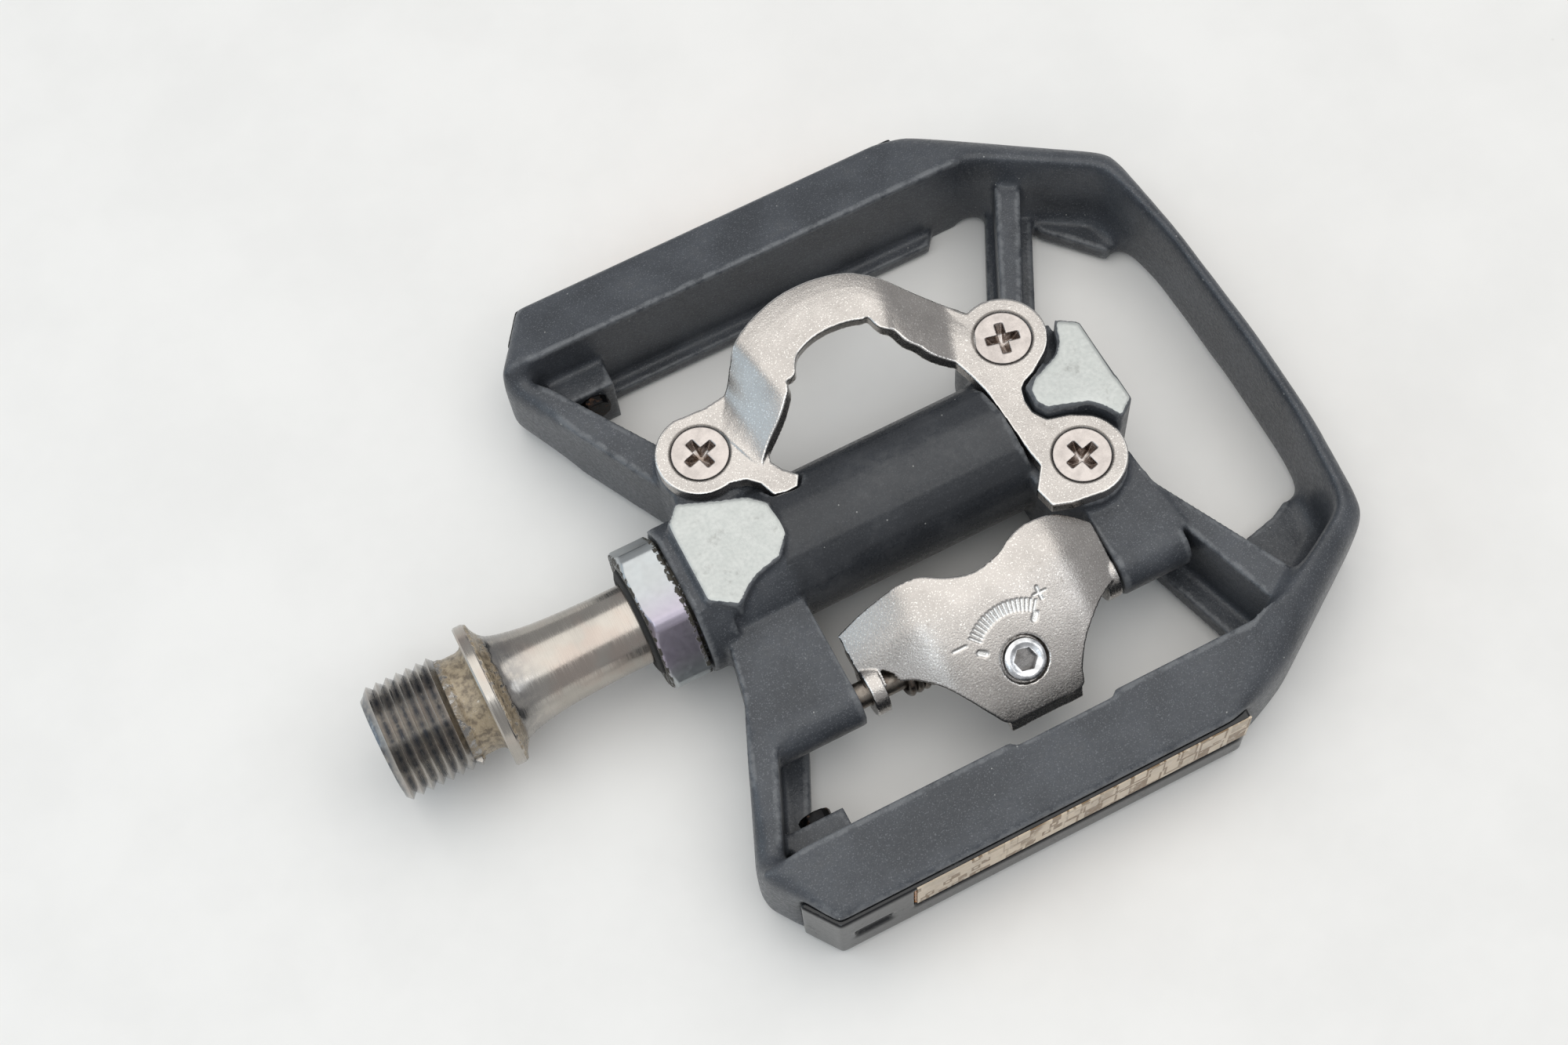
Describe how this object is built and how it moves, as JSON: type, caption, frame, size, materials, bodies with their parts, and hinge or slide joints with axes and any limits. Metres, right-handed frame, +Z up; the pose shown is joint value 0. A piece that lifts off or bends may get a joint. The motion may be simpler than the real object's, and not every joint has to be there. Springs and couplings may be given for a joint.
{
  "type": "clipless pedal",
  "caption": "Single-sided clipless bicycle pedal: cage platform on a threaded spindle, with a fixed front claw and a sprung rear claw on one side.",
  "frame": {"origin": "centre of the bottom of the bounding box, which is the plane the pedal lies on", "axes": "+X runs outboard along the spindle, +Y to the toe, +Z up on the cleat side"},
  "size_m": [0.1162, 0.0884, 0.0219],
  "materials": {
    "body_paint": "matt black textured paint on cast aluminium, bare where the pads are milled",
    "bare_alloy": "satin, stained",
    "nickel_steel": "bright nickel plate with a fine blasted grain",
    "spindle_steel": "polished and oily",
    "bearing_steel": "ground and polished",
    "dark_steel": "oiled dark steel",
    "seal_rubber": "matt",
    "bushing_resin": "greased bearing resin",
    "carrier_plastic": "gloss black",
    "amber_lens": "amber reflector lens",
    "label_paper": "varnished cream label"
  },
  "bodies": {
    "platform": {"pedal_body": "body_paint", "front_claw": "nickel_steel", "claw_screw_1": "nickel_steel", "claw_screw_2": "nickel_steel", "claw_screw_3": "nickel_steel", "pivot_pin": "dark_steel", "left_spring": "dark_steel", "right_spring": "dark_steel", "front_reflector_carrier": "carrier_plastic", "rear_reflector_carrier": "carrier_plastic", "front_reflector": "amber_lens", "rear_reflector": "amber_lens", "front_reflector_screw": "dark_steel", "rear_reflector_screw": "dark_steel", "label_strip": "label_paper", "lock_collar": "bare_alloy", "lip_seal": "seal_rubber", "inboard_bushing": "bushing_resin", "bearing_sleeve": "bearing_steel"},
    "spindle_group": {"spindle": "spindle_steel", "cone": "bearing_steel", "cone_locknut": "dark_steel"},
    "inner_ball_row": {"inner_ball_01": "bearing_steel", "inner_ball_02": "bearing_steel", "inner_ball_03": "bearing_steel", "inner_ball_04": "bearing_steel", "inner_ball_05": "bearing_steel", "inner_ball_06": "bearing_steel", "inner_ball_07": "bearing_steel", "inner_ball_08": "bearing_steel", "inner_ball_09": "bearing_steel", "inner_ball_10": "bearing_steel", "inner_ball_11": "bearing_steel", "inner_ball_12": "bearing_steel"},
    "outer_ball_row": {"outer_ball_01": "bearing_steel", "outer_ball_02": "bearing_steel", "outer_ball_03": "bearing_steel", "outer_ball_04": "bearing_steel", "outer_ball_05": "bearing_steel", "outer_ball_06": "bearing_steel", "outer_ball_07": "bearing_steel", "outer_ball_08": "bearing_steel", "outer_ball_09": "bearing_steel", "outer_ball_10": "bearing_steel", "outer_ball_11": "bearing_steel", "outer_ball_12": "bearing_steel"},
    "rear_jaw": {"rear_claw": "nickel_steel"},
    "tension_bolt_group": {"tension_bolt": "dark_steel"},
    "tension_plate_group": {"tension_plate": "dark_steel"}
  },
  "joints": [
    {"name": "spindle_spin", "type": "hinge", "parent": "platform", "child": "spindle_group", "pos_m": [0, 0, 0.0105], "axis": [1, 0, 0], "continuous": true},
    {"name": "inner_row_spin", "type": "hinge", "parent": "platform", "child": "inner_ball_row", "pos_m": [0, 0, 0.0105], "axis": [1, 0, 0], "continuous": true},
    {"name": "outer_row_spin", "type": "hinge", "parent": "platform", "child": "outer_ball_row", "pos_m": [0, 0, 0.0105], "axis": [1, 0, 0], "continuous": true},
    {"name": "rear_claw_tilt", "type": "hinge", "parent": "platform", "child": "rear_jaw", "pos_m": [0.0119, -0.0204, 0.0105], "axis": [1, 0, 0], "range_deg": [0, 14], "stiffness_Nm_per_rad": 0.3, "springref_deg": -34.38},
    {"name": "tension_bolt_turn", "type": "hinge", "parent": "rear_jaw", "child": "tension_bolt_group", "pos_m": [0.0123, -0.0262, 0.01321], "axis": [0, -0.4226, 0.9063], "range_deg": [0, 540]},
    {"name": "tension_plate_lift", "type": "slide", "parent": "rear_jaw", "child": "tension_plate_group", "axis": [0, -0.4226, 0.9063], "range_m": [0, 0.00105]}
  ],
  "couplings": [
    {"joint": "inner_row_spin", "follows": "spindle_spin", "ratio": 0.3747},
    {"joint": "outer_row_spin", "follows": "spindle_spin", "ratio": 0.3747},
    {"joint": "tension_bolt_turn", "follows": "tension_plate_lift", "rad_per_m": 8976}
  ]
}
